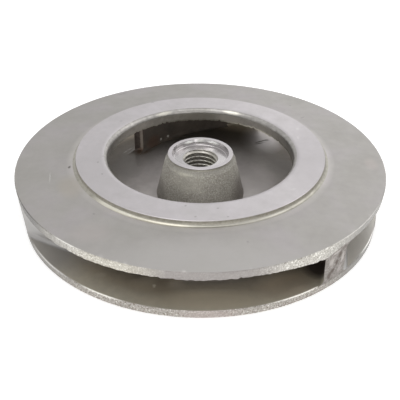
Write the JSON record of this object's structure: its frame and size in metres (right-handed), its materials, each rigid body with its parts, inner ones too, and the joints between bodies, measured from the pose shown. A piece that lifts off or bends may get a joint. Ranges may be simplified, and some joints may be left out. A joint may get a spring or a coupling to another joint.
{
  "type": "closed pump impeller",
  "caption": "Closed centrifugal pump impeller: two shrouds with swept vanes between them, a raised wear ring round the eye and a tapered hub with a threaded shaft socket.",
  "frame": {"origin": "centre of the flat back face, on the shaft's axis", "axes": "+Z along the shaft's axis towards the suction eye; +X points between two vanes, 49 degrees round from the tip of vane 1"},
  "size_m": [0.2, 0.2, 0.033],
  "materials": {
    "cast_metal": "satin cast skin, light grey, with bright machined ring, bore, rim and hub face"
  },
  "bodies": {
    "root": {"impeller_casting": "cast_metal"}
  },
  "joints": []
}
